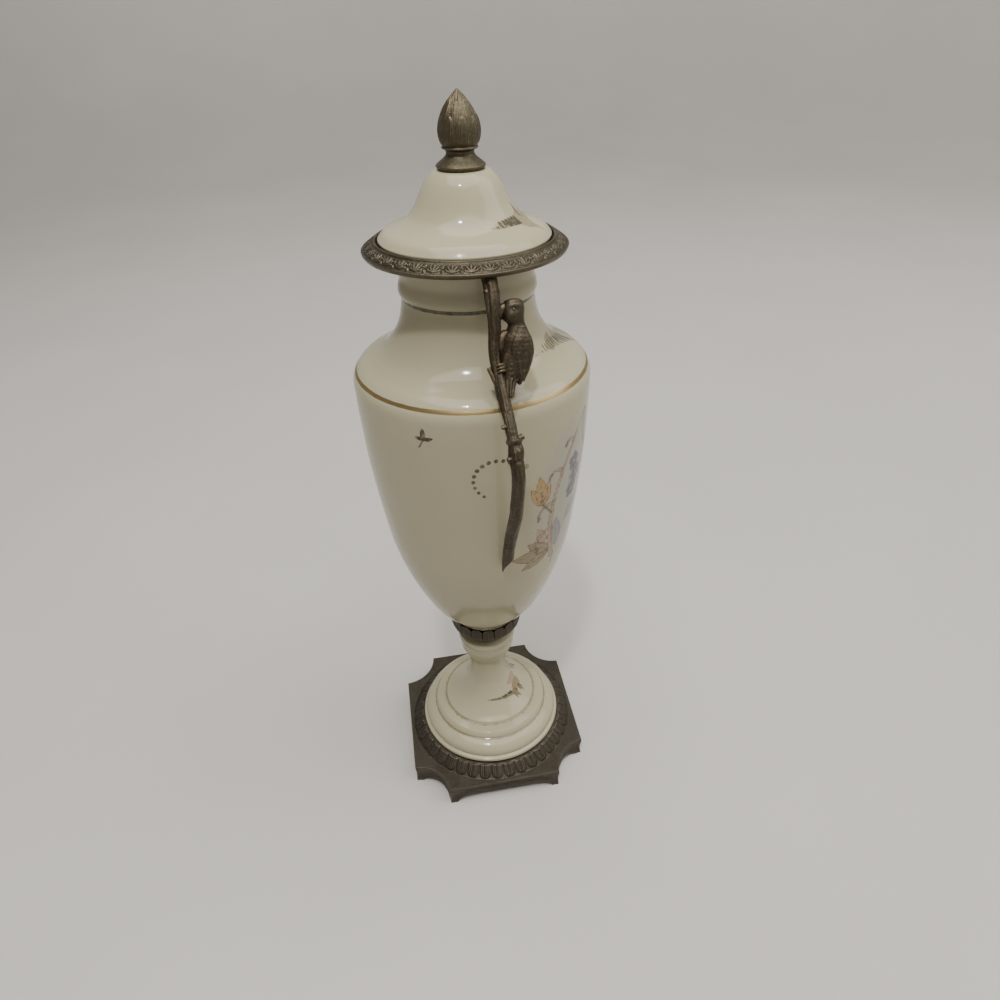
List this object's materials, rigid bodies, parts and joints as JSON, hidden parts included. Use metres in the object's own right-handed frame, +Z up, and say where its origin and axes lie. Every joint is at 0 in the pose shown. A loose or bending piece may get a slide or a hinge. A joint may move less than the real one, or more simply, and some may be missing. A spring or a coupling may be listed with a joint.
{
  "type": "covered mantel urn",
  "caption": "Slender covered porcelain urn on a square bronze plinth, with a bronze leaf collar, rim ring, bud finial and branch handles with clinging parrots.",
  "frame": {"origin": "on the floor under the middle of the urn's bounding box, which is the urn's own axis", "axes": "+Z up along the urn's axis, -Y towards the painted front, X through the two branch handles"},
  "size_m": [0.1554, 0.1152, 0.38],
  "materials": {
    "porcelain": "glossy cream glaze with gold lines and painted ornament",
    "bronze": "dark patinated bronze, rubbed on the edges",
    "dark_bronze": "darker patinated bronze"
  },
  "bodies": {
    "root": {"plinth": "dark_bronze", "foot": "porcelain", "collar": "dark_bronze", "vase": "porcelain", "ring": "bronze", "lid": "porcelain", "finial": "bronze", "handle_right": "bronze", "handle_left": "bronze"}
  },
  "joints": []
}
